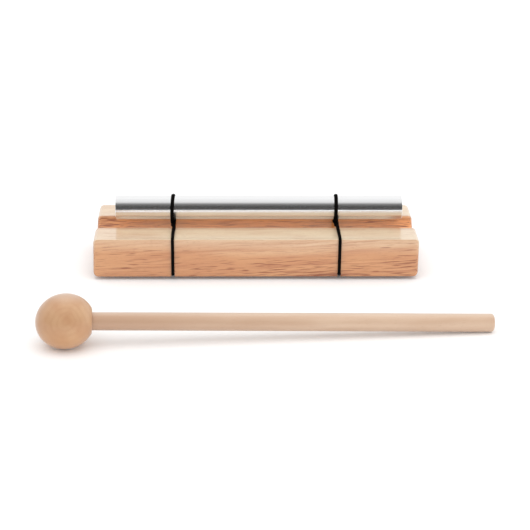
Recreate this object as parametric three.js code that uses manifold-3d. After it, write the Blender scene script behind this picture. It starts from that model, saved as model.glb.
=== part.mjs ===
// Energy chime: a metal rod floating on two elastic loops over a grooved wooden base, with its mallet.
// Millimetres, +Z up. The origin is the middle of the base's underside, +X runs along the rod,
// and -Y is the front.

import * as THREE from 'three';
import { mergeVertices } from 'three/addons/utils/BufferGeometryUtils.js';
import Module from 'manifold-3d';

// Base block
const baseLength = 200;
const baseDepth = 62;
const baseHeight = 24.5;
const baseEdgeRadius = 1.2;
const channelWidth = 20.4;
const channelDepth = 6;

// Chime rod
const rodDiameter = 15.2;
const rodLength = 178.5;
const rodChamfer = 0.5;
const rodShift = 2.2;

// Elastic cords
const cordDiameter = 1.5;
const cordClearance = 0.2;
const cordStrandGap = 0.55;
const cordSpacing = 102.2;
const cordShift = 0.1;
const cordDip = 0.1;
const leftWrapShift = -0.3;
const rightWrapShift = -1.1;
const cordSides = 8;
const wrapSteps = 28;
const cornerSteps = 4;
const gapSampleStep = 0.4;

// Cord grooves and knot pockets under the base
const grooveClearance = 0.5;
const grooveHeadroom = 0.6;
const knotDiameter = 4.4;
const knotLength = 5.6;
const knotClearance = 0.8;
const knotSegments = 16;

// Mallet
const headDiameter = 31.1;
const headLength = 32.5;
const headSegments = 40;
const headSteps = 14;
const socketDepth = 20;
const socketClearance = 0.3;
const stickRootDiameter = 10.05;
const stickEndDiameter = 10.45;
const stickReach = 241.8;
const stickEndChamfer = 0.9;
const malletShift = -107.5;
const malletStandoff = 99.2;
const malletYaw = THREE.MathUtils.degToRad(4.64);

// Roundness of turned and rounded shapes
const turnedSegments = 64;
const stickSegments = 32;
const arcSegments = 4;
const cutOverrun = 5;

// Worked out from the sizes above
const channelRadius = (channelWidth ** 2 / 4 + channelDepth ** 2) / (2 * channelDepth);
const cordRadius = cordDiameter / 2;
const cordSeat = cordRadius + cordClearance;
const rodRadius = rodDiameter / 2;
const wrapRadius = rodRadius + cordSeat;
const wrapPitch = cordDiameter + cordStrandGap;
const ridgeCordZ = baseHeight + cordSeat;
const rodZ = ridgeCordZ - cordDip + wrapRadius;
const grooveWidth = cordDiameter + 2 * grooveClearance;
const grooveDepth = cordDiameter + cordClearance + grooveHeadroom;
const pocketDepth = knotDiameter + 2 * grooveHeadroom;
const pocketDiameter = knotLength + 2 * knotClearance;
const leftCordX = cordShift - cordSpacing / 2;
const rightCordX = cordShift + cordSpacing / 2;

const axisX = new THREE.Vector3(1, 0, 0);
const axisY = new THREE.Vector3(0, 1, 0);
const axisZ = new THREE.Vector3(0, 0, 1);

const wasm = await Module();
wasm.setup();

const baseWood = new THREE.MeshStandardMaterial({ color: '#d09b78', roughness: 0.35, metalness: 0 });
const malletWood = new THREE.MeshStandardMaterial({ color: '#d6b08c', roughness: 0.5, metalness: 0 });
const aluminium = new THREE.MeshStandardMaterial({ color: '#d9dadc', roughness: 0.2, metalness: 1 });
const elastic = new THREE.MeshStandardMaterial({ color: '#141313', roughness: 0.8, metalness: 0 });

function toSolid(geometry) {
  const bare = geometry.index ? geometry.toNonIndexed() : geometry.clone();
  bare.deleteAttribute('normal');
  bare.deleteAttribute('uv');
  const merged = mergeVertices(bare);
  const mesh = new wasm.Mesh({
    numProp: 3,
    vertProperties: Float32Array.from(merged.attributes.position.array),
    triVerts: Uint32Array.from(merged.index.array),
  });
  return new wasm.Manifold(mesh);
}

function toGeometry(solid) {
  const mesh = solid.getMesh();
  const geometry = new THREE.BufferGeometry();
  geometry.setAttribute('position', new THREE.BufferAttribute(Float32Array.from(mesh.vertProperties), 3));
  geometry.setIndex(Array.from(mesh.triVerts));
  return geometry;
}

function named(name, geometry, material) {
  const mesh = new THREE.Mesh(geometry, material);
  mesh.name = name;
  return mesh;
}

// A closed outline through the given corners, each rounded by its own radius
function roundedOutline(corners) {
  const shape = new THREE.Shape();
  corners.forEach(([u, v, radius], i) => {
    const corner = new THREE.Vector2(u, v);
    const before = new THREE.Vector2(...corners.at(i - 1));
    const after = new THREE.Vector2(...corners[(i + 1) % corners.length]);
    const start = corner.clone().add(before.sub(corner).setLength(radius));
    const end = corner.clone().add(after.sub(corner).setLength(radius));
    const centre = start.clone().add(end).sub(corner);
    const startAngle = start.clone().sub(centre).angle();
    const endAngle = end.clone().sub(centre).angle();
    const turnsLeft = start.clone().sub(corner).cross(end.clone().sub(corner)) < 0;
    shape.absarc(centre.x, centre.y, radius, startAngle, endAngle, !turnsLeft);
  });
  return shape;
}

function roundedRectangle(width, low, high, radius) {
  const half = width / 2;
  return roundedOutline([
    [-half, low, radius],
    [half, low, radius],
    [half, high, radius],
    [-half, high, radius],
  ]);
}

// A prism of an outline drawn on the axes u and v, from -reach to +reach along u x v
function prism(shape, u, v, reach) {
  const geometry = new THREE.ExtrudeGeometry(shape, {
    depth: 2 * reach,
    bevelEnabled: false,
    curveSegments: arcSegments,
  });
  geometry.translate(0, 0, -reach);
  return geometry.applyMatrix4(new THREE.Matrix4().makeBasis(u, v, u.clone().cross(v)));
}

// The round-bottomed channel that the rod hangs over
function rodChannel() {
  const round = new THREE.CylinderGeometry(
    channelRadius, channelRadius, baseLength + 2 * cutOverrun, turnedSegments);
  round.rotateZ(Math.PI / 2);
  round.translate(0, 0, baseHeight - channelDepth + channelRadius);
  return toSolid(round);
}

function cordGroove(x) {
  const slot = new THREE.BoxGeometry(grooveWidth, baseDepth + 2 * cutOverrun, 2 * grooveDepth);
  slot.translate(x, 0, 0);
  const pocket = new THREE.CylinderGeometry(
    pocketDiameter / 2, pocketDiameter / 2, 2 * pocketDepth, stickSegments);
  pocket.rotateX(Math.PI / 2);
  pocket.translate(x, 0, 0);
  return toSolid(slot).add(toSolid(pocket));
}

function makeBase() {
  const front = roundedRectangle(baseLength, 0, baseHeight, baseEdgeRadius);
  const plan = roundedRectangle(baseLength, -baseDepth / 2, baseDepth / 2, baseEdgeRadius);
  const section = roundedRectangle(baseDepth, 0, baseHeight, baseEdgeRadius);
  let block = toSolid(prism(section, axisY, axisZ, baseLength / 2 + cutOverrun));
  block = block.intersect(toSolid(prism(front, axisX, axisZ, baseDepth / 2 + cutOverrun)));
  block = block.intersect(toSolid(prism(plan, axisX, axisY, baseHeight + cutOverrun)));
  block = block.subtract(rodChannel());
  for (const x of [leftCordX, rightCordX]) {
    block = block.subtract(cordGroove(x));
  }
  return named('base_block', toGeometry(block), baseWood);
}

function makeRod() {
  const half = rodLength / 2;
  const profile = [
    [0, -half],
    [rodRadius - rodChamfer, -half],
    [rodRadius, -half + rodChamfer],
    [rodRadius, half - rodChamfer],
    [rodRadius - rodChamfer, half],
    [0, half],
  ].map(([r, y]) => new THREE.Vector2(r, y));
  const rod = named('chime_rod', new THREE.LatheGeometry(profile, turnedSegments), aluminium);
  rod.rotation.z = -Math.PI / 2;
  rod.position.set(rodShift, 0, rodZ);
  return rod;
}

// The loop of one cord: under the base, up the front, back along the front ridge, once round the rod,
// along the rear ridge and down the rear. It drifts sideways only on the ridges and round the rod.
function cordRoute(grooveX, wrapX) {
  const points = [];
  const startX = wrapX + wrapPitch / 2;
  const endX = wrapX - wrapPitch / 2;
  const faceY = baseDepth / 2;
  const edgeY = faceY - baseEdgeRadius;
  const edgeZ = baseHeight - baseEdgeRadius;
  const edgeBend = baseEdgeRadius + cordSeat;
  const channelY = channelWidth / 2;
  const rise = rodZ - ridgeCordZ;
  const slope = Math.asin(wrapRadius / Math.hypot(channelY, rise)) - Math.atan2(rise, channelY);
  const down = -Math.PI / 2;
  const up = Math.PI / 2;

  function bend(y, z, radius, fromAngle, toAngle, steps, fromX, toX) {
    for (let i = 0; i <= steps; i++) {
      const angle = THREE.MathUtils.lerp(fromAngle, toAngle, i / steps);
      const x = THREE.MathUtils.lerp(fromX, toX, i / steps);
      points.push(new THREE.Vector3(x, y + radius * Math.cos(angle), z + radius * Math.sin(angle)));
    }
  }

  bend(-faceY, grooveDepth, cordSeat, down, -Math.PI, cornerSteps, grooveX, grooveX);
  bend(-edgeY, edgeZ, edgeBend, Math.PI, up, cornerSteps, grooveX, grooveX);
  points.push(new THREE.Vector3(startX, -channelY, ridgeCordZ));
  bend(0, rodZ, wrapRadius, down - slope, down + 2 * Math.PI + slope, wrapSteps, startX, endX);
  points.push(new THREE.Vector3(endX, channelY, ridgeCordZ));
  bend(edgeY, edgeZ, edgeBend, up, 0, cornerSteps, grooveX, grooveX);
  bend(faceY, grooveDepth, cordSeat, 0, down, cornerSteps, grooveX, grooveX);
  return points;
}

// A closed tube round a loop of points. No stretch of the loop runs along X, so X steadies its rings.
function closedTube(points) {
  const positions = [];
  const indices = [];
  const count = points.length;
  points.forEach((point, i) => {
    const tangent = points[(i + 1) % count].clone().sub(points.at(i - 1)).normalize();
    const side = axisX.clone().addScaledVector(tangent, -tangent.x).normalize();
    const up = tangent.clone().cross(side);
    for (let k = 0; k < cordSides; k++) {
      const angle = 2 * Math.PI * (k + 0.5) / cordSides;
      const ring = point.clone();
      ring.addScaledVector(side, cordRadius * Math.cos(angle));
      ring.addScaledVector(up, cordRadius * Math.sin(angle));
      positions.push(...ring.toArray());
      const a = i * cordSides + k;
      const b = i * cordSides + (k + 1) % cordSides;
      const c = (i + 1) % count * cordSides + (k + 1) % cordSides;
      const d = (i + 1) % count * cordSides + k;
      indices.push(a, b, c, a, c, d);
    }
  });
  const geometry = new THREE.BufferGeometry();
  geometry.setAttribute('position', new THREE.Float32BufferAttribute(positions, 3));
  geometry.setIndex(indices);
  return geometry;
}

// The least clear distance between stretches of one cord that are not neighbours along it
function leastGapToItself(points) {
  const samples = [];
  let travelled = 0;
  points.forEach((point, i) => {
    const next = points[(i + 1) % points.length];
    const length = point.distanceTo(next);
    const steps = Math.ceil(length / gapSampleStep);
    for (let k = 0; k < steps; k++) {
      samples.push({ at: travelled + length * k / steps, place: point.clone().lerp(next, k / steps) });
    }
    travelled += length;
  });
  const apart = Math.PI * cordDiameter;
  let least = Infinity;
  samples.forEach((a, i) => {
    for (const b of samples.slice(i + 1)) {
      const along = Math.min(b.at - a.at, travelled - b.at + a.at);
      if (along > apart) {
        least = Math.min(least, a.place.distanceTo(b.place));
      }
    }
  });
  return least - cordDiameter;
}

function makeCord(name, grooveX, wrapX) {
  const route = cordRoute(grooveX, wrapX);
  console.log(`${name}: least gap to itself ${leastGapToItself(route).toFixed(2)} mm`);
  const knot = new THREE.SphereGeometry(knotDiameter / 2, knotSegments, knotSegments / 2);
  knot.scale(1, knotLength / knotDiameter, 1);
  knot.translate(grooveX, 0, pocketDepth / 2);
  const loop = toSolid(closedTube(route)).add(toSolid(knot));
  return named(name, toGeometry(loop), elastic);
}

function makeMalletHead() {
  const radius = headDiameter / 2;
  const reach = headLength / 2;
  const socketRadius = stickRootDiameter / 2 + socketClearance;
  const rimAngle = Math.acos(socketRadius / radius);
  const rimY = reach * Math.sin(rimAngle);
  const profile = [];
  for (let i = 0; i <= headSteps; i++) {
    const angle = THREE.MathUtils.lerp(-Math.PI / 2, rimAngle, i / headSteps);
    const r = i === 0 ? 0 : radius * Math.cos(angle);
    profile.push(new THREE.Vector2(r, reach * Math.sin(angle)));
  }
  profile.push(new THREE.Vector2(socketRadius, rimY - socketDepth));
  profile.push(new THREE.Vector2(0, rimY - socketDepth));
  return { head: new THREE.LatheGeometry(profile, headSegments), floorY: rimY - socketDepth };
}

function makeStick(innerEnd) {
  const rootRadius = stickRootDiameter / 2;
  const endRadius = stickEndDiameter / 2;
  const profile = [
    [0, innerEnd],
    [rootRadius, innerEnd],
    [rootRadius, 0],
    [endRadius, stickReach - stickEndChamfer],
    [endRadius - stickEndChamfer, stickReach],
    [0, stickReach],
  ].map(([r, y]) => new THREE.Vector2(r, y));
  return new THREE.LatheGeometry(profile, stickSegments);
}

// The mallet lies on the surface that the base stands on, on its head and the far end of its stick
function makeMallet() {
  const headRadius = headDiameter / 2;
  const restReach = stickReach - stickEndChamfer;
  const endRadius = stickEndDiameter / 2;
  const lean = Math.asin(headRadius / Math.hypot(restReach, endRadius)) - Math.atan2(endRadius, restReach);
  const along = new THREE.Vector3(
    Math.cos(lean) * Math.cos(malletYaw), Math.cos(lean) * Math.sin(malletYaw), -Math.sin(lean));
  const { head, floorY } = makeMalletHead();
  const mallet = new THREE.Group();
  mallet.add(named('mallet_head', head, malletWood));
  mallet.add(named('mallet_stick', makeStick(floorY + socketClearance), malletWood));
  mallet.quaternion.setFromUnitVectors(axisY, along);
  mallet.position.set(malletShift, -baseDepth / 2 - malletStandoff, headRadius);
  return mallet;
}

const chime = new THREE.Group();
chime.add(makeBase());
chime.add(makeRod());
chime.add(makeCord('elastic_cord_left', leftCordX, leftCordX + leftWrapShift));
chime.add(makeCord('elastic_cord_right', rightCordX, rightCordX + rightWrapShift));
chime.add(makeMallet());

export default chime;
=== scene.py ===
import math

import bmesh
import bpy
from mathutils import Euler, Matrix, Vector
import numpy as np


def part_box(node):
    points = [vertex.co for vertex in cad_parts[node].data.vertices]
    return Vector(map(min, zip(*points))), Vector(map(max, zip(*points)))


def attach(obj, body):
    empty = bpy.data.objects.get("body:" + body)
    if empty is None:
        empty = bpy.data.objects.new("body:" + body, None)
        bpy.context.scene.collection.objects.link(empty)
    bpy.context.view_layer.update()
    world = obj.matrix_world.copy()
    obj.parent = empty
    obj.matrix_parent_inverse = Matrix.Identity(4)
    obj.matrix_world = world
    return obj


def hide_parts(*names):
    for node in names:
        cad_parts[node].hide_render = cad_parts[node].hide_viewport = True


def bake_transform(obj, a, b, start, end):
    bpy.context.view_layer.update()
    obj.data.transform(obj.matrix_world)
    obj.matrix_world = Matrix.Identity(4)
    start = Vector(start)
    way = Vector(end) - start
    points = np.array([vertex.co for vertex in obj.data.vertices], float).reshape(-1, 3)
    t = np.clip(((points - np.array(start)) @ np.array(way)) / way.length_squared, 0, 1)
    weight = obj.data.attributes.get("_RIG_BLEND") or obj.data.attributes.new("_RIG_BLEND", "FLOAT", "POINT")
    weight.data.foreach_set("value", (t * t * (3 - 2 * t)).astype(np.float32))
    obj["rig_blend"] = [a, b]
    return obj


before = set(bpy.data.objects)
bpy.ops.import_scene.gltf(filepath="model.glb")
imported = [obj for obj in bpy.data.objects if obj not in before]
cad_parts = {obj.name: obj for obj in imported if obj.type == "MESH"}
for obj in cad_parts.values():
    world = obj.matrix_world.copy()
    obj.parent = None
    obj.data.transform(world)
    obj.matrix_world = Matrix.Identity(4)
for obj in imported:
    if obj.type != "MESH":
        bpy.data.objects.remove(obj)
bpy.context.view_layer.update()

MM = 0.001
TOUCH = 0.02 * MM
CREASE = math.radians(40)
CORD_CREASE = math.radians(60)

# The block and the rod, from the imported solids
BLOCK_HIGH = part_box("base_block")[1]
ROD_LOW, ROD_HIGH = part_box("chime_rod")
HALF_LENGTH = BLOCK_HIGH.x
HALF_DEPTH = BLOCK_HIGH.y
BLOCK_TOP = BLOCK_HIGH.z
BLOCK_WELD = TOUCH / 4
ROD_Z = (ROD_LOW.z + ROD_HIGH.z) / 2
ROD_RADIUS = (ROD_HIGH.z - ROD_LOW.z) / 2
ROD_SIDES = 128
ROD_RIM = 0.3 * MM
ROD_RIM_STEPS = 4

# The channel and the eased edges of the block
CHANNEL_HALF = 10.2 * MM
CHANNEL_DEPTH = 6.0 * MM
CHANNEL_RADIUS = (CHANNEL_HALF ** 2 + CHANNEL_DEPTH ** 2) / (2 * CHANNEL_DEPTH)
CHANNEL_AXIS = BLOCK_TOP - CHANNEL_DEPTH + CHANNEL_RADIUS
CHANNEL_STEPS = 24
END_SLANT = 0.6 * MM
EASING = {
    "end_bottom": 3.2 * MM,
    "end_upright": 2.0 * MM,
    "end_top": 2.6 * MM,
    "end_channel": 2.6 * MM,
    "long_bottom": 0.8 * MM,
    "long_top": 0.7 * MM,
    "channel_mouth": 0.5 * MM,
}
WIDEST_EASING = max(EASING.values())
EASING_STEPS = 6

# The grooves and pockets that hide the elastics under the block
GROOVE_WIDTH = 2.2 * MM
GROOVE_DEPTH = 2.5 * MM
POCKET_RADIUS = 3.6 * MM
POCKET_DEPTH = 5.6 * MM
POCKET_SIDES = 48
CUT_OVERRUN = 5 * MM

# The elastics, as half their width and half their height:
# round on the wood, a little slimmer in the knot, pressed flat round the rod
ROUND_CORD = (0.97 * MM, 0.74 * MM)
KNOT_CORD = (0.85 * MM, 0.74 * MM)
FLAT_CORD = (1.12 * MM, 0.56 * MM)
CORD_SIDES = 20
CORD_STEP = 0.55 * MM

# Where each elastic lies along the block: down the faces, then at quarters of its turn
ELASTICS = {
    "left": {
        "lie": -51.1 * MM,
        "quarters": [-50.75 * MM, -51.0 * MM, -51.4 * MM, -51.95 * MM, -51.9 * MM],
    },
    "right": {
        "lie": 51.15 * MM,
        "quarters": [51.0 * MM, 50.6 * MM, 50.25 * MM, 50.0 * MM, 49.8 * MM],
    },
}

# The strands: where they widen, lean towards their turn and are flat, from front to rear,
# and where the end of the turn hooks round the front one
CORD_SEAT = ROUND_CORD[1] + TOUCH
FOOT_STEPS = 6
RIDGE_STEPS = 8
WIDENS_FROM = 4 * MM - HALF_DEPTH
LEANS_FROM = 7 * MM - HALF_DEPTH
FLAT_BY = -CHANNEL_HALF / 3
ROD_HOLDS = 2.5 * MM
HITCH_EXTRA = (0.42 * MM, 0.10 * MM)
HITCH_SHIFT = -0.42 * MM
HITCH_RISES = (-9.9 * MM, -8.1 * MM)
HITCH_FADES = (-2.5 * MM, -0.5 * MM)

# The turn round the rod, whose end crosses over its start
WRAP_RADIUS = ROD_RADIUS + FLAT_CORD[1] + TOUCH
RIDGE_CORD_Z = BLOCK_TOP + CORD_SEAT
RISE = ROD_Z - RIDGE_CORD_Z
RIDGE_TO_ROD = math.hypot(CHANNEL_HALF, RISE)
WRAP_SLOPE = math.asin(WRAP_RADIUS / RIDGE_TO_ROD) - math.atan2(RISE, CHANNEL_HALF)
WRAP_START = -math.pi / 2 - WRAP_SLOPE
WRAP_STOP = 3 * math.pi / 2 + WRAP_SLOPE
WRAP_STEPS = 110
WRAP_SMOOTHING = 12
CROSSING = 1.15 * MM
CROSSING_RISES = (math.radians(205), math.radians(262))

# The barrel knot that closes each elastic
KNOT_TURNS = 3
KNOT_STEPS = 16 * KNOT_TURNS
KNOT_COIL = 1.35 * MM
KNOT_PITCH = 1.75 * MM
KNOT_HEIGHT = 2.8 * MM
KNOT_ENTRY = 3.4 * MM
KNOT_HEART = 2.0 * MM

# The mallet, along its own axis from the middle of its head
HEAD_RADIUS = 15.37 * MM
HEAD_REACH = 16.45 * MM
HEAD_TILT = math.radians(-14.6)
HEAD_CUT = 14.7 * MM
HEAD_STEPS = 60
HEAD_SIDES = 96
HEAD_WELD = TOUCH / 10
RIM_EASING = 1.2 * MM
RIM_STEPS = 6
MOUTH_EASING = 0.2 * MM
SOCKET_RADIUS = 5.15 * MM
SOCKET_DEPTH = 19.4 * MM
LEAN_RISES = (SOCKET_RADIUS + MOUTH_EASING, HEAD_RADIUS / 2)
STICK_ROOT_RADIUS = 5.025 * MM
STICK_END_RADIUS = 5.225 * MM
STICK_START = -4.3 * MM
STICK_END = 241.8 * MM
STICK_SIDES = 64
STICK_ROUNDING = 1.3 * MM
STICK_ROUNDING_STEPS = 7
MALLET_PLACE = Vector((-107.5, -130.2, 15.55)) * MM
MALLET_TURN = Euler((0, math.radians(2.458), math.radians(4.64)))
MALLET_FRAME = Matrix.Translation(MALLET_PLACE) @ MALLET_TURN.to_matrix().to_4x4()
BALL_GRAIN = Euler((0, math.radians(-24), math.radians(-86)))

# The photograph's camera
LENS = 104.74
SENSOR = 36
CAMERA_PLACE = (-0.02256, -0.90564, 0.36941)
CAMERA_TILT = math.radians(90 - 22.444)
CAMERA_PAN = math.radians(-1.833)
CAMERA_ROLL = math.radians(0.655)

# The white table, which falls away a little under the block, and the lamps
AMBIENT = 0.81
FLOOR_LIFT = 0.07
FLOOR_SIZE = 4.0
FLOOR_CELLS = 4
FLOOR_DROP = 2.0 * MM
FLOOR_LEVEL_AT = -115 * MM
OVERHEAD_STRENGTH = 1.2
OVERHEAD_SPREAD = math.radians(70)
OVERHEAD_TILT = math.radians(17)
SOFTBOX_POWER = 3.4
SOFTBOX_BEARING = math.radians(40)
SOFTBOX_DISTANCE = 1.7
SOFTBOX_HEIGHT = math.radians(10)
SOFTBOX_WIDE = 0.9
SOFTBOX_HIGH = 0.5

# The graded card that the rod mirrors: its grey at angles forward from straight above the rod
CARD_RADIUS = 0.75
CARD_HALF_WIDTH = 3.0
CARD_START = math.radians(-30)
CARD_STOP = math.radians(92)
CARD_STEPS = 48
CARD_GREYS = [
    (-30, 1.0), (-5, 0.88), (7, 0.84), (17.5, 0.74), (22, 0.62), (28, 0.35),
    (38, 0.135), (48, 0.070), (57, 0.022), (67, 0.008), (77, 0.02), (86, 0.05),
]


def tone(red, green, blue):
    return (red, green, blue, 1)


WHITE = tone(1, 1, 1)
TABLE_WHITE = tone(0.92, 0.92, 0.92)

BEECH = {
    "brown": tone(0.595, 0.261, 0.104),
    "pink": tone(0.650, 0.314, 0.131),
    # Channel tones: redder wood, painted lighter than the body as painted light under the rod
    "channel": tone(0.765, 0.290, 0.082),
    "channel_floor_painted_light": tone(0.910, 0.345, 0.082),
    "channel_left": tone(0.480, 0.210, 0.080),
    # Paler tops: partly sapwood, partly painted light
    "sapwood_and_painted_light": tone(0.800, 0.645, 0.450),
    # Painted light for the front wall of the channel
    "channel_wall_painted_light": tone(0.920, 0.760, 0.540),
    "ring": tone(0.50, 0.195, 0.075),
    "streak": tone(0.44, 0.150, 0.055),
    "fibre": tone(0.44, 0.175, 0.075),
    "pore": tone(0.270, 0.076, 0.028),
    # Painted shadow along the foot
    "painted_foot_shadow": tone(0.20, 0.070, 0.032),
    "end_grain": tone(0.42, 0.195, 0.095),
}

# The mallet's woods. A dark end has its start and stop along the axis and its share,
# and a painted sheen on the top the same in height
# Painted sheen for the top of the mallet
MAPLE_PAINTED_SHEEN = tone(0.72, 0.56, 0.43)
# Painted warm reflection for the underside of the mallet
MAPLE_PAINTED_UNDERSIDE = tone(0.580, 0.265, 0.082)
BALL_WOOD = {
    "pale": tone(0.580, 0.345, 0.186),
    "warm": tone(0.515, 0.272, 0.134),
    "dark": tone(0.43, 0.205, 0.085),
    "heart": (0.6, -0.8),
    "ring": 3.2,
    "sway": 3.4,
    "figure": 0.17,
    "dark_end": (-17, -3, 0.6),
    "painted_top_sheen": (12.5, 16.5, 0.45),
    "under": 0.55,
    "turn": BALL_GRAIN,
}
STICK_WOOD = {
    "pale": tone(0.622, 0.438, 0.307),
    "warm": tone(0.552, 0.363, 0.240),
    "dark": tone(0.45, 0.258, 0.155),
    "heart": (-30.0, 24.0),
    "ring": 2.6,
    "sway": 2.0,
    "figure": 0.10,
    "dark_end": (20, 150, 0.75),
    "painted_top_sheen": (4.0, 5.3, 0.5),
    "under": 0,
    "turn": MALLET_TURN,
}

ALUMINIUM = {
    "drawn": tone(0.900, 0.905, 0.910),
    "bright": tone(0.945, 0.945, 0.945),
    # Painted shade for the faced ends
    "faced": tone(0.45, 0.45, 0.46),
}
FACING_PITCH = 0.34

ELASTIC = {
    "deep": tone(0.0015, 0.0012, 0.0010),
    "worn": tone(0.0050, 0.0042, 0.0040),
}
BRAID_STRANDS = 7
BRAID_LAY = 1.5


class Value:
    """A socket of a node, so that shader maths can be written as an expression."""

    def __init__(self, finish, socket):
        self.finish = finish
        self.socket = socket

    def maths(self, operation, *terms):
        return self.finish.node("Math", {"operation": operation}, dict(enumerate(terms)))

    def __add__(self, other):
        return self.maths("ADD", self, other)

    def __radd__(self, other):
        return self.maths("ADD", other, self)

    def __sub__(self, other):
        return self.maths("SUBTRACT", self, other)

    def __rsub__(self, other):
        return self.maths("SUBTRACT", other, self)

    def __mul__(self, other):
        return self.maths("MULTIPLY", self, other)

    def __rmul__(self, other):
        return self.maths("MULTIPLY", other, self)

    def __truediv__(self, other):
        return self.maths("DIVIDE", self, other)

    def __pow__(self, other):
        return self.maths("POWER", self, other)

    def __abs__(self):
        return self.maths("ABSOLUTE", self)

    def sine(self):
        return self.maths("SINE", self)

    def bearing(self, other):
        """The angle whose tangent is this over the other."""
        return self.maths("ARCTAN2", self, other)

    def larger(self, other):
        return self.maths("MAXIMUM", self, other)

    def smaller(self, other):
        return self.maths("MINIMUM", self, other)

    def rising(self, low, high):
        """0 below low, 1 above high, and smooth between them."""
        return self.finish.node(
            "MapRange",
            {"interpolation_type": "SMOOTHSTEP"},
            {"Value": self, "From Min": low, "From Max": high},
        )

    def output(self, name):
        return Value(self.finish, self.socket.node.outputs[name])


class Finish:
    """The nodes of one material, or of the world."""

    def __init__(self, owner):
        owner.use_nodes = True
        self.owner = owner
        self.tree = owner.node_tree
        self.tree.nodes.clear()

    def node(self, kind, settings=None, sockets=None, output=0):
        made = self.tree.nodes.new("ShaderNode" + kind)
        for name, value in (settings or {}).items():
            if name == "stops":
                self.set_stops(made.color_ramp.elements, value)
            else:
                setattr(made, name, value)
        for name, value in (sockets or {}).items():
            if isinstance(value, Value):
                self.tree.links.new(value.socket, made.inputs[name])
            else:
                made.inputs[name].default_value = value
        if not len(made.outputs):
            return None
        return Value(self, made.outputs[output])

    @staticmethod
    def set_stops(elements, stops):
        while len(elements) < len(stops):
            elements.new(1)
        for element, (place, shade) in zip(elements, stops):
            element.position = place
            element.color = shade

    def noise(self, place, size, detail=2.0, roughness=0.5):
        """Noise whose specks measure about size along each axis."""
        stretched = self.node("VectorMath", {"operation": "DIVIDE"}, {0: place, 1: size})
        return self.node(
            "TexNoise",
            None,
            {"Vector": stretched, "Scale": 1.0, "Detail": detail, "Roughness": roughness},
        )

    def mix(self, share, first, second):
        return self.node(
            "Mix",
            {"data_type": "RGBA", "blend_type": "MIX"},
            {0: share, 6: first, 7: second},
            output=2,
        )

    def millimetres(self, place=(0, 0, 0), turn=(0, 0, 0)):
        """Object coordinates in millimetres from a place on the piece, turned with it."""
        return self.node(
            "Mapping",
            {"vector_type": "TEXTURE"},
            {
                "Vector": self.node("TexCoord", output="Object"),
                "Location": place,
                "Rotation": turn,
                "Scale": (MM, MM, MM),
            },
        )

    def split(self, vector):
        parts = self.node("SeparateXYZ", None, {"Vector": vector})
        return parts, parts.output("Y"), parts.output("Z")

    def join(self, x, y, z):
        return self.node("CombineXYZ", None, {"X": x, "Y": y, "Z": z})

    def end_on(self, turn=None):
        """1 where the surface faces along the piece, and 0 on its sides."""
        facing = self.node("TexCoord", output="Normal")
        if turn is not None:
            facing = self.node(
                "VectorRotate",
                {"rotation_type": "EULER_XYZ", "invert": True},
                {"Vector": facing, "Rotation": turn},
            )
        return abs(self.split(facing)[0])

    def relief(self, height, strength, depth):
        """Fine relief of a depth in millimetres."""
        return self.node(
            "Bump", None, {"Strength": strength, "Distance": depth * MM, "Height": height})

    def show(self, surface):
        self.node("OutputMaterial", None, {"Surface": surface})
        return self.owner

    def surface(self, sockets):
        return self.show(self.node("BsdfPrincipled", None, sockets))


def new_finish(name):
    return Finish(bpy.data.materials.new(name))


def wood_figure(finish, grain, slope, sway, heart, ring):
    """Place in the log along and across its fibres, and the light and dark of its rings."""
    x, y, z = finish.split(grain)
    drift = finish.noise(grain, (70, 26, 22), detail=1.0) - 0.5
    ripple = finish.noise(grain, (24, 9, 7), detail=1.0) - 0.5
    across_y = y + drift * sway
    across_z = z - x * slope + drift * (sway * 0.8) + ripple * (sway * 0.35)
    log = finish.join(x, across_y, across_z)
    out_y = across_y - heart[0]
    out_z = across_z - heart[1]
    radius = (out_y * out_y + out_z * out_z) ** 0.5
    uneven = finish.noise(log, (60, 14, 14), detail=2.0) * 1.6
    rings = ((radius / ring + uneven) * (2 * math.pi)).sine() * 0.5 + 0.5
    return log, rings


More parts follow.
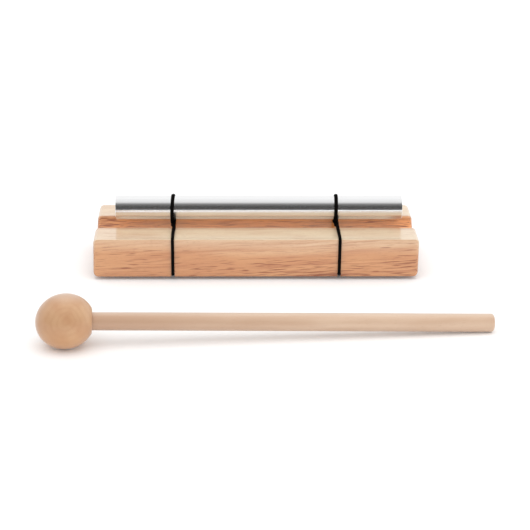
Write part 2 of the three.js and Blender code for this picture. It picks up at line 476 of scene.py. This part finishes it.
def varnished_beech():
    """The block: pinkish beech with dark pore lines, paler towards the top partly by painted light, with a
    painted shadow along its foot, under varnish.
    """
    finish = new_finish("varnished_beech")
    grain = finish.millimetres()
    x, y, z = finish.split(grain)
    log, rings = wood_figure(
        finish, grain, slope=0.055, sway=4.0, heart=(-14.0, -60.0), ring=4.6)
    cloud = finish.noise(log, (75, 16, 9), detail=2.0).rising(0.34, 0.68)
    body = finish.mix(cloud, BEECH["brown"], BEECH["pink"])

    # Redder in the channel, and painted lighter there as painted light under the rod, most towards its
    # front; darker at its left end
    above_axis = z - CHANNEL_AXIS / MM
    into_wood = (y * y + above_axis * above_axis) ** 0.5 - CHANNEL_RADIUS / MM
    routed = y.rising(-5, 3) * (1 - y.rising(9.0, 13.0)) * (1 - into_wood.rising(0.4, 2.8))
    body = finish.mix(routed, body, BEECH["channel"])
    body = finish.mix(routed * (1 - y.rising(5.2, 7.6)), body, BEECH["channel_floor_painted_light"])
    body = finish.mix(routed * (1 - x.rising(-100, -80)) * 0.6, body, BEECH["channel_left"])

    # Paler on the ridges and the upper part of the faces, partly sapwood and partly painted light on the
    # tops, and a streak of painted light in the channel
    middle = 1 - abs(x).rising(20, 95)
    ridges = (0 - y).rising(8.5, 16.0).larger(y.rising(8.0, 13.5))
    height = z + (cloud - 0.5) * 2.0 + x * 0.015 + middle * 2.2
    faces = abs(y).rising(30.4, 31.0)
    sapwood_and_painted_light = height.rising(13.5, 26.5) * ridges * (1 - faces * 0.42)
    body = finish.mix(sapwood_and_painted_light, body, BEECH["sapwood_and_painted_light"])
    # Painted light on the front wall of the channel, which the rod mirrors
    front_wall = 1 - abs(y + 6).rising(3.5, 6.5)
    channel_wall_painted_light = front_wall * (1 - abs(x).rising(80, 92)) * z.rising(12, 17)
    body = finish.mix(channel_wall_painted_light, body, BEECH["channel_wall_painted_light"])
    sapwood_and_painted_light = sapwood_and_painted_light.larger(channel_wall_painted_light)
    body = finish.mix(rings * rings * 0.12, body, BEECH["ring"])

    # Streaks, fibres and pores, closer together at the lower right and in the channel
    lower_right = x.rising(-60, 60) * (1 - z.rising(5, 20))
    in_channel = routed * (0.45 - x.rising(-95, -75) * 0.25)
    crowd = finish.noise(log, (38, 7, 5), detail=1.0) * 0.9 + lower_right * 0.40 + in_channel
    streaks = finish.noise(log, (34, 1.3, 1.3), detail=2.0).rising(0.46, 0.70)
    body = finish.mix(streaks * crowd * (1 - sapwood_and_painted_light * 0.6) * 0.85, body, BEECH["streak"])
    fibre = finish.noise(log, (18, 0.34, 0.34), detail=2.0)
    body = finish.mix(fibre.rising(0.50, 0.78) * 0.20, body, BEECH["fibre"])
    pores = finish.noise(log, (14.0, 0.60, 0.60), detail=1.0)
    pores = (pores + (crowd - 0.55) * 0.26).rising(0.575, 0.700) * (1 - sapwood_and_painted_light * 0.8)
    pores = pores * (1 - middle * z.rising(6, 16) * 0.55)
    fine_pores = finish.noise(log, (2.4, 0.26, 0.26), detail=1.0).rising(0.60, 0.76)
    pores = pores.larger(fine_pores * 0.35)
    body = finish.mix(pores * 0.85, body, BEECH["pore"])

    # Painted shadow along the foot, and darker end grain
    painted_foot_shadow = 1 - z.rising(0.0, 1.0)
    body = finish.mix(painted_foot_shadow * 0.5, body, BEECH["painted_foot_shadow"])
    end_grain = finish.end_on().rising(0.55, 0.98)
    body = finish.mix(end_grain * 0.30, body, BEECH["end_grain"])
    return finish.surface({
        "Base Color": body,
        "Roughness": 0.36 + pores * 0.22 + end_grain * 0.1,
        "IOR": 1.5,
        "Coat Weight": 0.95 - pores * 0.3 - end_grain * 0.35,
        "Coat Roughness": 0.07,
        "Coat IOR": 1.6,
        "Normal": finish.relief(fibre * 0.35 - pores * 0.9, strength=0.12, depth=0.08),
    })


def mallet_wood(
    name, pale, warm, dark, heart, ring, sway, figure, dark_end, painted_top_sheen, under, turn
):
    """Head or stick: close-grained pale wood, sanded and oiled, with fibres along its turn."""
    finish = new_finish(name)
    grain = finish.millimetres(MALLET_PLACE, turn)
    log, rings = wood_figure(finish, grain, slope=0.012, sway=sway, heart=heart, ring=ring)
    cloud = finish.noise(log, (55, 9, 9), detail=2.0).rising(0.32, 0.70)
    body = finish.mix(cloud, warm, pale)
    body = finish.mix(rings * rings * figure, body, dark)

    place = finish.split(finish.millimetres(MALLET_PLACE, MALLET_TURN))
    along, up = place[0], place[2]
    body = finish.mix((1 - along.rising(*dark_end[:2])) * dark_end[2], body, dark)
    # Painted sheen: lighter along the top
    body = finish.mix(up.rising(*painted_top_sheen[:2]) * painted_top_sheen[2], body, MAPLE_PAINTED_SHEEN)
    # Painted reflection: warmer and more orange underneath
    body = finish.mix((1 - up.rising(-12, 7)) * under, body, MAPLE_PAINTED_UNDERSIDE)

    fibre = finish.noise(log, (13, 0.36, 0.36), detail=2.0)
    body = finish.mix(fibre.rising(0.52, 0.80) * 0.26, body, dark)
    pores = finish.noise(log, (3.4, 0.3, 0.3), detail=1.0).rising(0.62, 0.78)
    body = finish.mix(pores * 0.30, body, dark)
    end_grain = finish.end_on(turn).rising(0.72, 0.99)
    body = finish.mix(end_grain * 0.22, body, dark)
    return finish.surface({
        "Base Color": body,
        "Roughness": 0.50 + pores * 0.14 + end_grain * 0.08,
        "IOR": 1.5,
        "Coat Weight": 0.85 - pores * 0.2,
        "Coat Roughness": 0.30,
        "Coat IOR": 1.55,
        "Sheen Weight": 0.25,
        "Sheen Roughness": 0.35,
        "Normal": finish.relief(fibre * 0.4 - pores * 0.6, strength=0.14, depth=0.07),
    })


def drawn_aluminium():
    """The rod: bright drawn bar with faint lines along it, and ends faced on a lathe, darker grey with their
    facing marks and painted shade.
    """
    finish = new_finish("drawn_aluminium")
    bar = finish.millimetres((0, 0, ROD_Z))
    y, z = finish.split(bar)[1:]
    lines = finish.noise(bar, (46, 0.16, 0.16), detail=3.0, roughness=0.6)
    scuffs = finish.noise(bar, (2.6, 0.35, 0.35), detail=2.0).rising(0.62, 0.80)
    from_axis = (y * y + z * z) ** 0.5
    faced = finish.end_on().rising(0.6, 0.95)
    cuts = (from_axis * (2 * math.pi / FACING_PITCH)).sine() * 0.5 + 0.5
    shade = finish.mix(lines.rising(0.35, 0.75), ALUMINIUM["drawn"], ALUMINIUM["bright"])
    # Painted shade: the faced ends darker grey, with their facing marks
    shade = finish.mix(faced * (0.35 + cuts * 0.2), shade, ALUMINIUM["faced"])
    tooling = lines * (1 - faced) * 0.25 + cuts * faced
    return finish.surface({
        "Base Color": shade,
        "Metallic": 0.93,
        "Roughness": 0.11 + lines * 0.07 + scuffs * 0.05 + faced * 0.10,
        "Normal": finish.relief(tooling, strength=0.08, depth=0.03),
    })


def black_elastic():
    """The elastics: rubber cord in a tight black braid."""
    finish = new_finish("black_elastic")
    cord = finish.node("UVMap", {"uv_map": "cord"})
    around, along = finish.split(cord)[:2]
    strands = 2 * math.pi * BRAID_STRANDS
    lay = 2 * math.pi / BRAID_LAY
    right_lay = (around * strands + along * lay).sine()
    left_lay = (around * strands - along * lay).sine()
    braid = right_lay.larger(left_lay) * 0.5 + 0.5
    fuzz = finish.noise(finish.millimetres(), (0.16, 0.16, 0.16), detail=2.0)
    shade = finish.mix(braid * 0.7 + fuzz * 0.3, ELASTIC["deep"], ELASTIC["worn"])
    return finish.surface({
        "Base Color": shade,
        "Roughness": 0.70 + fuzz * 0.2,
        "Specular IOR Level": 0.03,
        "Normal": finish.relief(braid + fuzz * 0.4, strength=0.55, depth=0.09),
    })


def put_in_scene(name, data):
    thing = bpy.data.objects.new(name, data)
    bpy.context.scene.collection.objects.link(thing)
    return thing


def plain_mesh(name, bm):
    mesh = bpy.data.meshes.new(name)
    bm.to_mesh(mesh)
    bm.free()
    return mesh


def creased_mesh(name, bm, crease=CREASE):
    """The mesh of a closed shape, with the edges sharper than the crease kept crisp."""
    bmesh.ops.recalc_face_normals(bm, faces=bm.faces)
    for edge in bm.edges:
        edge.smooth = len(edge.link_faces) == 2 and edge.calc_face_angle() < crease
    return plain_mesh(name, bm)


def finish_piece(name, mesh, material, nodes, body=None):
    """A finished piece: it takes its material, stands for its solids and rides on its body."""
    for polygon in mesh.polygons:
        polygon.use_smooth = True
    mesh.materials.clear()
    mesh.materials.append(material)
    piece = put_in_scene(name, mesh)
    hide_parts(*nodes)
    if body:
        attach(piece, body)
    return piece


def finish_hard_piece(name, bm, material, nodes, body):
    """A piece of wood or metal, whose flats stay flat beside their rounded edges."""
    piece = finish_piece(name, creased_mesh(name, bm), material, nodes, body)
    even = piece.modifiers.new("even_shading", "WEIGHTED_NORMAL")
    even.keep_sharp = True
    even.weight = 100


def verts_of(geometry):
    return [part for part in geometry if isinstance(part, bmesh.types.BMVert)]


def edges_of(geometry):
    return [part for part in geometry if isinstance(part, bmesh.types.BMEdge)]


def smooth_share(value, low, high):
    share = min(1, max(0, (value - low) / (high - low)))
    return share * share * (3 - 2 * share)


def arc(first, second, radius, start, stop, steps):
    """Points of an arc about a place in a plane."""
    angles = [start + (stop - start) * i / steps for i in range(steps + 1)]
    return [(first + radius * math.cos(a), second + radius * math.sin(a)) for a in angles]


def easing_of(edge):
    """Which rounding an edge of the sawn block gets."""
    first, second = (vert.co for vert in edge.verts)
    middle = (first + second) / 2
    run = second - first
    at_end = abs(abs(middle.x) - HALF_LENGTH) < TOUCH
    outside = abs(abs(middle.y) - HALF_DEPTH) < TOUCH
    on_top = abs(middle.z - BLOCK_TOP) < TOUCH
    at_foot = abs(middle.z) < TOUCH
    if at_end:
        if at_foot:
            return EASING["end_bottom"]
        if on_top:
            return EASING["end_top"]
        upright = outside and abs(run.z) > TOUCH
        return EASING["end_upright"] if upright else EASING["end_channel"]
    if outside:
        return EASING["long_bottom"] if at_foot else EASING["long_top"]
    return EASING["channel_mouth"] if on_top else 0


def sawn_block():
    """The block with its channel, one end a little out of square, weighted for its rounding."""
    bm = bmesh.new()
    section = [(-HALF_DEPTH, 0), (HALF_DEPTH, 0), (HALF_DEPTH, BLOCK_TOP)]
    spread = math.asin(CHANNEL_HALF / CHANNEL_RADIUS)
    for i in range(CHANNEL_STEPS + 1):
        angle = spread * (1 - 2 * i / CHANNEL_STEPS)
        drop = CHANNEL_RADIUS * (math.cos(angle) - math.cos(spread))
        section.append((CHANNEL_RADIUS * math.sin(angle), BLOCK_TOP - drop))
    section.append((-HALF_DEPTH, BLOCK_TOP))
    end = bm.faces.new([bm.verts.new((-HALF_LENGTH, y, z)) for y, z in section])
    sawn = bmesh.ops.extrude_face_region(bm, geom=[end])
    bmesh.ops.translate(bm, vec=(2 * HALF_LENGTH, 0, 0), verts=verts_of(sawn["geom"]))
    bmesh.ops.recalc_face_normals(bm, faces=bm.faces)
    weight = bm.edges.layers.float.new("bevel_weight_edge")
    for edge in bm.edges:
        edge[weight] = easing_of(edge) / WIDEST_EASING
    for vert in bm.verts:
        if vert.co.x < 0:
            vert.co.x += END_SLANT * vert.co.z / BLOCK_TOP
    return plain_mesh("sawn_block", bm)


def cord_cutter():
    """What is cut out under the block: a groove and a round pocket for each elastic."""
    bm = bmesh.new()
    groove_size = (GROOVE_WIDTH, 2 * (HALF_DEPTH + CUT_OVERRUN), GROOVE_DEPTH + CUT_OVERRUN)
    for elastic in ELASTICS.values():
        groove = bmesh.ops.create_cube(bm, size=1)["verts"]
        bmesh.ops.scale(bm, vec=groove_size, verts=groove)
        pocket = bmesh.ops.create_cone(
            bm,
            cap_ends=True,
            segments=POCKET_SIDES,
            radius1=POCKET_RADIUS,
            radius2=POCKET_RADIUS,
            depth=POCKET_DEPTH + CUT_OVERRUN,
        )["verts"]
        for cut, depth in ((groove, GROOVE_DEPTH), (pocket, POCKET_DEPTH)):
            middle = (elastic["lie"], 0, (depth - CUT_OVERRUN) / 2)
            bmesh.ops.translate(bm, vec=middle, verts=cut)
    return plain_mesh("cord_cutter", bm)


def make_block(material):
    """The sawn block with its edges eased, and then the grooves and pockets cut into it."""
    block = put_in_scene("sawn_block", sawn_block())
    cutter = put_in_scene("cord_cutter", cord_cutter())
    easing = block.modifiers.new("eased_edges", "BEVEL")
    easing.limit_method = "WEIGHT"
    easing.width = WIDEST_EASING
    easing.segments = EASING_STEPS
    easing.profile = 0.5
    easing.use_clamp_overlap = False
    cut = block.modifiers.new("cord_grooves", "BOOLEAN")
    cut.operation = "DIFFERENCE"
    cut.solver = "EXACT"
    cut.use_self = True
    cut.object = cutter
    bpy.context.view_layer.update()
    shaped = block.evaluated_get(bpy.context.evaluated_depsgraph_get())
    bm = bmesh.new()
    bm.from_mesh(shaped.to_mesh())
    shaped.to_mesh_clear()
    for part in (block, cutter):
        used = part.data
        bpy.data.objects.remove(part)
        bpy.data.meshes.remove(used)
    bmesh.ops.remove_doubles(bm, verts=bm.verts, dist=BLOCK_WELD)
    finish_hard_piece(
        "base_block_wood", bm, material, ["base_block"], "base")


def round_bar(sides, start_radius, stop_radius, start, stop):
    """A round bar along the X axis."""
    bm = bmesh.new()
    middle = Matrix.Translation(((start + stop) / 2, 0, 0))
    bmesh.ops.create_cone(
        bm,
        cap_ends=True,
        segments=sides,
        radius1=start_radius,
        radius2=stop_radius,
        depth=stop - start,
        matrix=middle @ Matrix.Rotation(math.pi / 2, 4, "Y"),
    )
    return bm


def round_over(bm, edges, offset, steps):
    bmesh.ops.bevel(
        bm, geom=edges, offset=offset, segments=steps, profile=0.5, affect="EDGES", material=-1)


def make_rod(material):
    """Straight bar with its two rims broken."""
    bm = round_bar(ROD_SIDES, ROD_RADIUS, ROD_RADIUS, ROD_LOW.x, ROD_HIGH.x)
    rims = [edge for edge in bm.edges if abs(edge.verts[0].co.x - edge.verts[1].co.x) < TOUCH]
    round_over(bm, rims, ROD_RIM, ROD_RIM_STEPS)
    bmesh.ops.translate(bm, vec=(0, 0, ROD_Z), verts=bm.verts)
    finish_hard_piece(
        "chime_rod_bar", bm, material, ["chime_rod"], "rod")


def evenly(points, step):
    """The same line with points at most a step apart."""
    line = [points[0]]
    for point in points[1:]:
        start = line[-1]
        pieces = max(1, math.ceil((point - start).length / step))
        line += [start.lerp(point, i / pieces) for i in range(1, pieces + 1)]
    return line


def round_the_rod(x, radius, angle):
    """A place on a turn round the rod."""
    return Vector((x, radius * math.cos(angle), ROD_Z + radius * math.sin(angle)))


def strand_line(lie, meeting, standoff=0):
    """From the knot along the groove, up the front face and over the ridge to the rod."""
    easing = EASING["long_top"]
    route = [(-KNOT_HEART, KNOT_HEIGHT), (-KNOT_ENTRY, GROOVE_DEPTH - CORD_SEAT)]
    route += arc(-HALF_DEPTH, GROOVE_DEPTH, CORD_SEAT, -math.pi / 2, -math.pi, FOOT_STEPS)
    route += arc(
        easing - HALF_DEPTH, BLOCK_TOP - easing, easing + CORD_SEAT,
        math.pi, math.pi / 2, RIDGE_STEPS)
    route.append((-CHANNEL_HALF, RIDGE_CORD_Z))
    points = [Vector((lie, y, z)) for y, z in route]
    points.append(round_the_rod(lie, WRAP_RADIUS + standoff, WRAP_START))
    line = evenly(points, CORD_STEP)
    for point in line:
        if point.z > BLOCK_TOP:
            point.x += (meeting - lie) * smooth_share(point.y, LEANS_FROM, -CHANNEL_HALF)
    return line


def strand_girths(line):
    """Half the width and half the height along a strand, which flattens towards the rod."""
    girths = []
    for point in line:
        wider = smooth_share(point.y, WIDENS_FROM, -CHANNEL_HALF)
        flatter = smooth_share(point.y, -CHANNEL_HALF, FLAT_BY)
        girths.append((
            ROUND_CORD[0] + (FLAT_CORD[0] - ROUND_CORD[0]) * wider,
            ROUND_CORD[1] + (FLAT_CORD[1] - ROUND_CORD[1]) * flatter,
        ))
    return girths


def hitch(line, girths):
    """Shifts a strand where the end of the turn hooks round it, and gives its fuller girths."""
    fuller = []
    for point, girth in zip(line, girths):
        share = smooth_share(point.y, *HITCH_RISES) * (1 - smooth_share(point.y, *HITCH_FADES))
        point.x += HITCH_SHIFT * share
        fuller.append(tuple(half + extra * share for half, extra in zip(girth, HITCH_EXTRA)))
    return fuller


def wrap_line(quarters):
    """One turn: under the rod, up its rear, over it, down its front and under it again."""
    line = []
    for i in range(WRAP_STEPS + 1):
        share = i / WRAP_STEPS
        quarter = min(int(share * 4), 3)
        passed = share * 4 - quarter
        x = quarters[quarter] + (quarters[quarter + 1] - quarters[quarter]) * passed
        angle = WRAP_START + (WRAP_STOP - WRAP_START) * share
        radius = WRAP_RADIUS + CROSSING * smooth_share(angle, *CROSSING_RISES)
        line.append(round_the_rod(x, radius, angle))
    for _ in range(WRAP_SMOOTHING):
        for i in range(1, WRAP_STEPS):
            line[i].x = (line[i - 1].x + 2 * line[i].x + line[i + 1].x) / 4
    return line


def knot_line(lie):
    """A barrel knot of three turns."""
    half = KNOT_PITCH * KNOT_TURNS / 2 - KNOT_PITCH / 4
    line = []
    for i in range(KNOT_STEPS + 1):
        angle = 2 * math.pi * KNOT_TURNS * i / KNOT_STEPS
        line.append(Vector((
            lie + KNOT_COIL * math.cos(angle),
            half * (2 * i / KNOT_STEPS - 1),
            KNOT_HEIGHT + KNOT_COIL * math.sin(angle),
        )))
    return line


def cord_rings(line, girths):
    """The place, heading and girth of each ring of a cord, carried along without twist."""
    rings = []
    side = Vector((1, 0, 0))
    for i, point in enumerate(line):
        heading = (line[min(i + 1, len(line) - 1)] - line[max(i - 1, 0)]).normalized()
        side = (side - heading * side.dot(heading)).normalized()
        turn = Matrix((side, heading.cross(side), heading)).transposed()
        girth = Matrix.Diagonal((*girths[i], 1, 1))
        rings.append(Matrix.Translation(point) @ turn.to_4x4() @ girth)
    return rings


def cord_mesh(name, line, girths):
    """A cord along a line, with its turns and its millimetres kept for the braid."""
    bm = bmesh.new()
    around = bm.verts.layers.float.new("around")
    along = bm.verts.layers.float.new("along")
    rings = cord_rings(line, girths)
    ring = bmesh.ops.create_circle(bm, cap_ends=True, segments=CORD_SIDES, radius=1)["verts"]
    for i, vert in enumerate(ring):
        vert[around] = i / CORD_SIDES
    bmesh.ops.transform(bm, matrix=rings[0], verts=ring)
    edges = list(bm.edges)
    travelled = 0
    for i in range(1, len(line)):
        travelled += (line[i] - line[i - 1]).length
        grown = bmesh.ops.extrude_edge_only(bm, edges=edges)["geom"]
        ring = verts_of(grown)
        reached = set(ring)
        edges = [edge for edge in edges_of(grown) if reached.issuperset(edge.verts)]
        bmesh.ops.transform(bm, matrix=rings[i] @ rings[i - 1].inverted(), verts=ring)
        for vert in ring:
            vert[along] = travelled / MM
    bmesh.ops.edgeloop_fill(bm, edges=edges)
    braid = bm.loops.layers.uv.new("cord")
    for face in bm.faces:
        turns = [loop.vert[around] for loop in face.loops]
        across_seam = max(turns) - min(turns) > 0.5 and len(turns) == 4
        for loop, turn in zip(face.loops, turns):
            turn += 1 if across_seam and turn < 0.5 else 0
            loop[braid].uv = (turn, loop.vert[along])
    for layer in ("around", "along"):
        bm.verts.layers.float.remove(bm.verts.layers.float[layer])
    return creased_mesh(name, bm, CORD_CREASE)


def mirrored(line):
    """The same line at the rear of the block."""
    return [Vector((point.x, -point.y, point.z)) for point in line]


def make_elastic(side, material):
    """One endless elastic: its front strand, its turn round the rod, its rear strand, its knot."""

    def cord_piece(part, line, girths, body=None):
        name = "elastic_" + part + "_" + side
        mesh = cord_mesh(name, line, girths)
        return finish_piece(
            name, mesh, material, ["elastic_cord_" + side], body)

    lie = ELASTICS[side]["lie"]
    quarters = ELASTICS[side]["quarters"]
    front = strand_line(lie, quarters[0])
    piece = cord_piece("front_strand", front, hitch(front, strand_girths(front)))
    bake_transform(piece, "base", "cords", start=(0, -CHANNEL_HALF, 0), end=(0, -ROD_HOLDS, 0))
    turn = wrap_line(quarters)
    cord_piece("turn", turn, [FLAT_CORD] * len(turn), "cords")
    rear = strand_line(lie, quarters[-1], CROSSING)
    piece = cord_piece("rear_strand", mirrored(rear), strand_girths(rear))
    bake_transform(piece, "base", "cords", start=(0, CHANNEL_HALF, 0), end=(0, ROD_HOLDS, 0))
    knot = knot_line(lie)
    cord_piece("knot", knot, [KNOT_CORD] * len(knot), "base")


def ball_reach(lean):
    """From the ball's middle to its surface, by the cosine of the angle from its long axis."""
    return 1 / math.sqrt((lean / HEAD_REACH) ** 2 + (1 - lean ** 2) / HEAD_RADIUS ** 2)


def head_outline():
    """Half the head's section, along its axis and out from it: ball, eased flat and socket."""
    ball_edge = HEAD_RADIUS * math.sqrt(1 - (HEAD_CUT / HEAD_REACH) ** 2)
    rim_along = HEAD_CUT - RIM_EASING
    rim_reach = math.hypot(HEAD_CUT, ball_edge) - RIM_EASING
    rim_out = math.sqrt(rim_reach ** 2 - rim_along ** 2)
    rim = math.atan2(rim_out, rim_along)
    outline = []
    for i in range(HEAD_STEPS):
        angle = math.pi + (rim - math.pi) * i / HEAD_STEPS
        reach = ball_reach(math.cos(angle))
        outline.append((reach * math.cos(angle), reach * math.sin(angle)))
    outline += arc(rim_along, rim_out, RIM_EASING, rim, 0, RIM_STEPS)
    outline += arc(
        HEAD_CUT - MOUTH_EASING, SOCKET_RADIUS + MOUTH_EASING, MOUTH_EASING,
        0, -math.pi / 2, RIM_STEPS)
    outline.append((HEAD_CUT - SOCKET_DEPTH, SOCKET_RADIUS))
    outline.append((HEAD_CUT - SOCKET_DEPTH, 0))
    return outline


def lean_ball(bm):
    """Leans the long way of the ball over, and leaves the socket and its mouth straight."""
    long_axis = Matrix.Rotation(HEAD_TILT, 3, "Y") @ Vector((1, 0, 0))
    for vert in bm.verts:
        if vert.co.length < HEAD_RADIUS - TOUCH:
            continue
        outward = vert.co.normalized()
        stretch = ball_reach(outward.dot(long_axis)) / ball_reach(outward.x) - 1
        if vert.co.x > 0:
            out = math.hypot(vert.co.y, vert.co.z)
            stretch *= smooth_share(out, *LEAN_RISES)
        vert.co *= 1 + stretch


def make_head(material):
    """Turned ball, a little longer one way, with an eased flat where the stick goes in."""
    bm = bmesh.new()
    outline = [bm.verts.new((along, 0, out)) for along, out in head_outline()]
    edges = [bm.edges.new(ends) for ends in zip(outline, outline[1:])]
    bmesh.ops.spin(
        bm,
        geom=outline + edges,
        cent=(0, 0, 0),
        axis=(1, 0, 0),
        angle=2 * math.pi,
        steps=HEAD_SIDES,
        use_merge=True,
    )
    bmesh.ops.remove_doubles(bm, verts=bm.verts, dist=HEAD_WELD)
    lean_ball(bm)
    bmesh.ops.transform(bm, matrix=MALLET_FRAME, verts=bm.verts)
    finish_hard_piece(
        "mallet_head_ball", bm, material, ["mallet_head"], "mallet")


def make_stick(material):
    """Dowel, a little thicker towards its rounded far end."""
    bm = round_bar(STICK_SIDES, STICK_ROOT_RADIUS, STICK_END_RADIUS, STICK_START, STICK_END)
    at_end = STICK_END - TOUCH
    far_end = [edge for edge in bm.edges if all(vert.co.x > at_end for vert in edge.verts)]
    round_over(bm, far_end, STICK_ROUNDING, STICK_ROUNDING_STEPS)
    bmesh.ops.transform(bm, matrix=MALLET_FRAME, verts=bm.verts)
    finish_hard_piece(
        "mallet_stick_dowel", bm, material, ["mallet_stick"], "mallet")


def add_camera():
    data = bpy.data.cameras.new("photo_camera")
    data.sensor_width = SENSOR
    data.lens = LENS
    camera = put_in_scene("photo_camera", data)
    camera.location = CAMERA_PLACE
    aim = Matrix.Rotation(CAMERA_PAN, 3, "Z") @ Matrix.Rotation(CAMERA_TILT, 3, "X")
    camera.rotation_euler = (aim @ Matrix.Rotation(CAMERA_ROLL, 3, "Z")).to_euler()
    bpy.context.scene.camera = camera


def seen_directly(finish):
    """1 for rays that show the backdrop itself: straight, mirrored or through something clear."""
    path = finish.node("LightPath", output="Is Camera Ray")
    return (path + path.output("Is Glossy Ray") + path.output("Is Transmission Ray")).smaller(1)


def add_world():
    world = bpy.data.worlds.new("white_studio")
    bpy.context.scene.world = world
    finish = Finish(world)
    strength = AMBIENT + seen_directly(finish) * (1 - AMBIENT)
    sky = finish.node("Background", None, {"Color": WHITE, "Strength": strength})
    finish.node("OutputWorld", None, {"Surface": sky})


def add_floor():
    """A white table, tilted a little: at its height by the mallet, and lower at the block."""
    finish = new_finish("white_table")
    table = finish.node("BsdfDiffuse", None, {"Color": TABLE_WHITE})
    strength = seen_directly(finish) * FLOOR_LIFT
    lift = finish.node("Emission", None, {"Color": WHITE, "Strength": strength})
    material = finish.show(finish.node("AddShader", None, {0: table, 1: lift}))
    bm = bmesh.new()
    bmesh.ops.create_grid(
        bm, x_segments=FLOOR_CELLS, y_segments=FLOOR_CELLS, size=FLOOR_SIZE)
    fall = Matrix.Rotation(-math.atan2(FLOOR_DROP, -HALF_DEPTH - FLOOR_LEVEL_AT), 3, "X")
    bmesh.ops.rotate(bm, cent=(0, FLOOR_LEVEL_AT, 0), matrix=fall, verts=bm.verts)
    mesh = plain_mesh("table", bm)
    mesh.materials.append(material)
    floor = put_in_scene("table", mesh)


def add_lamps():
    """A wide soft light overhead, and a softbox low on the right of the camera."""
    data = bpy.data.lights.new("overhead", "SUN")
    data.energy = OVERHEAD_STRENGTH
    data.angle = OVERHEAD_SPREAD
    overhead = put_in_scene("overhead", data)
    overhead.rotation_euler = (OVERHEAD_TILT, 0, 0)
    data = bpy.data.lights.new("softbox", "AREA")
    data.shape = "RECTANGLE"
    data.size = SOFTBOX_WIDE
    data.size_y = SOFTBOX_HIGH
    data.energy = SOFTBOX_POWER
    softbox = put_in_scene("softbox", data)
    softbox.rotation_euler = (math.pi / 2 - SOFTBOX_HEIGHT, 0, SOFTBOX_BEARING)
    softbox.location = softbox.rotation_euler.to_matrix() @ Vector((0, 0, SOFTBOX_DISTANCE))
    for lamp in (overhead, softbox):
        lamp.visible_glossy = False


def add_dark_card():
    """A graded dark card over the front of the table, which only polished surfaces show."""
    finish = new_finish("graded_card")
    y, z = finish.split(finish.node("TexCoord", output="Object"))[1:]
    sweep = CARD_STOP - CARD_START
    share = ((0 - y).bearing(z - ROD_Z) - CARD_START) / sweep
    stops = []
    for degrees, grey in CARD_GREYS:
        stops.append(((math.radians(degrees) - CARD_START) / sweep, tone(grey, grey, grey)))
    shade = finish.node("ValToRGB", {"stops": stops}, {0: share})
    material = finish.show(finish.node("Emission", None, {"Color": shade, "Strength": 1.0}))
    bm = bmesh.new()
    out = -CARD_RADIUS * math.sin(CARD_START)
    up = ROD_Z + CARD_RADIUS * math.cos(CARD_START)
    ends = [bm.verts.new((x, out, up)) for x in (-CARD_HALF_WIDTH, CARD_HALF_WIDTH)]
    bmesh.ops.spin(
        bm,
        geom=ends + [bm.edges.new(ends)],
        cent=(0, 0, ROD_Z),
        axis=(1, 0, 0),
        angle=sweep,
        steps=CARD_STEPS,
    )
    mesh = plain_mesh("graded_card", bm)
    mesh.materials.append(material)
    card = put_in_scene("graded_card", mesh)
    card.visible_camera = False
    card.visible_diffuse = False
    card.visible_shadow = False
    card.visible_transmission = False
    card.visible_volume_scatter = False


add_camera()
add_world()
add_floor()
add_lamps()
add_dark_card()
bpy.context.scene.view_settings.view_transform = "Standard"

elastic = black_elastic()
for side in ELASTICS:
    make_elastic(side, elastic)
make_block(varnished_beech())
make_rod(drawn_aluminium())
make_head(mallet_wood("turned_maple", **BALL_WOOD))
make_stick(mallet_wood("dowel_maple", **STICK_WOOD))
